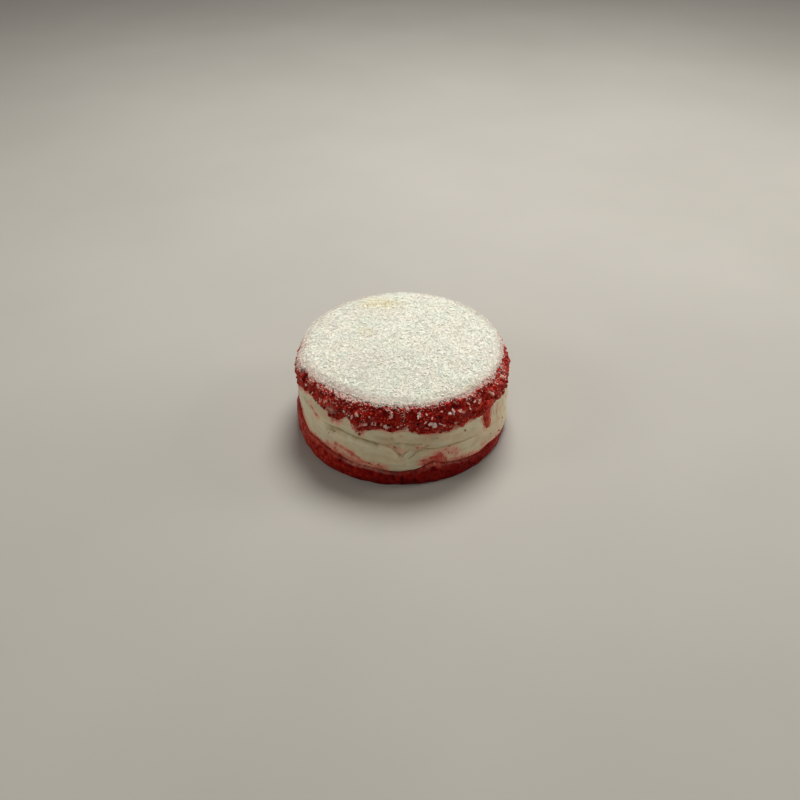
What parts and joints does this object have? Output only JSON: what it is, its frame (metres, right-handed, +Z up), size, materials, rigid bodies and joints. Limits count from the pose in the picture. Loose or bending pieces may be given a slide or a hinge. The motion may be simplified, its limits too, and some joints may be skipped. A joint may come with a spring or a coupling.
{
  "type": "red velvet cake",
  "caption": "Small round red velvet layer cake: two red sponge layers, a thick cream filling and a fine grated coconut top.",
  "frame": {"origin": "middle of the cake's foot, in the plane it stands on", "axes": "+Z up through the cake; the side that shows in the picture faces -Y, and +X is to its right"},
  "size_m": [0.1206, 0.121, 0.0513],
  "materials": {
    "red_sponge": "moist open crumb, deep crimson",
    "cream": "soft satin, smoothed with a palette knife",
    "coconut": "dry fine grated flakes"
  },
  "bodies": {
    "root": {"lower_sponge": "red_sponge", "cream_filling": "cream", "upper_sponge": "red_sponge", "coconut_topping": "coconut"}
  },
  "joints": []
}
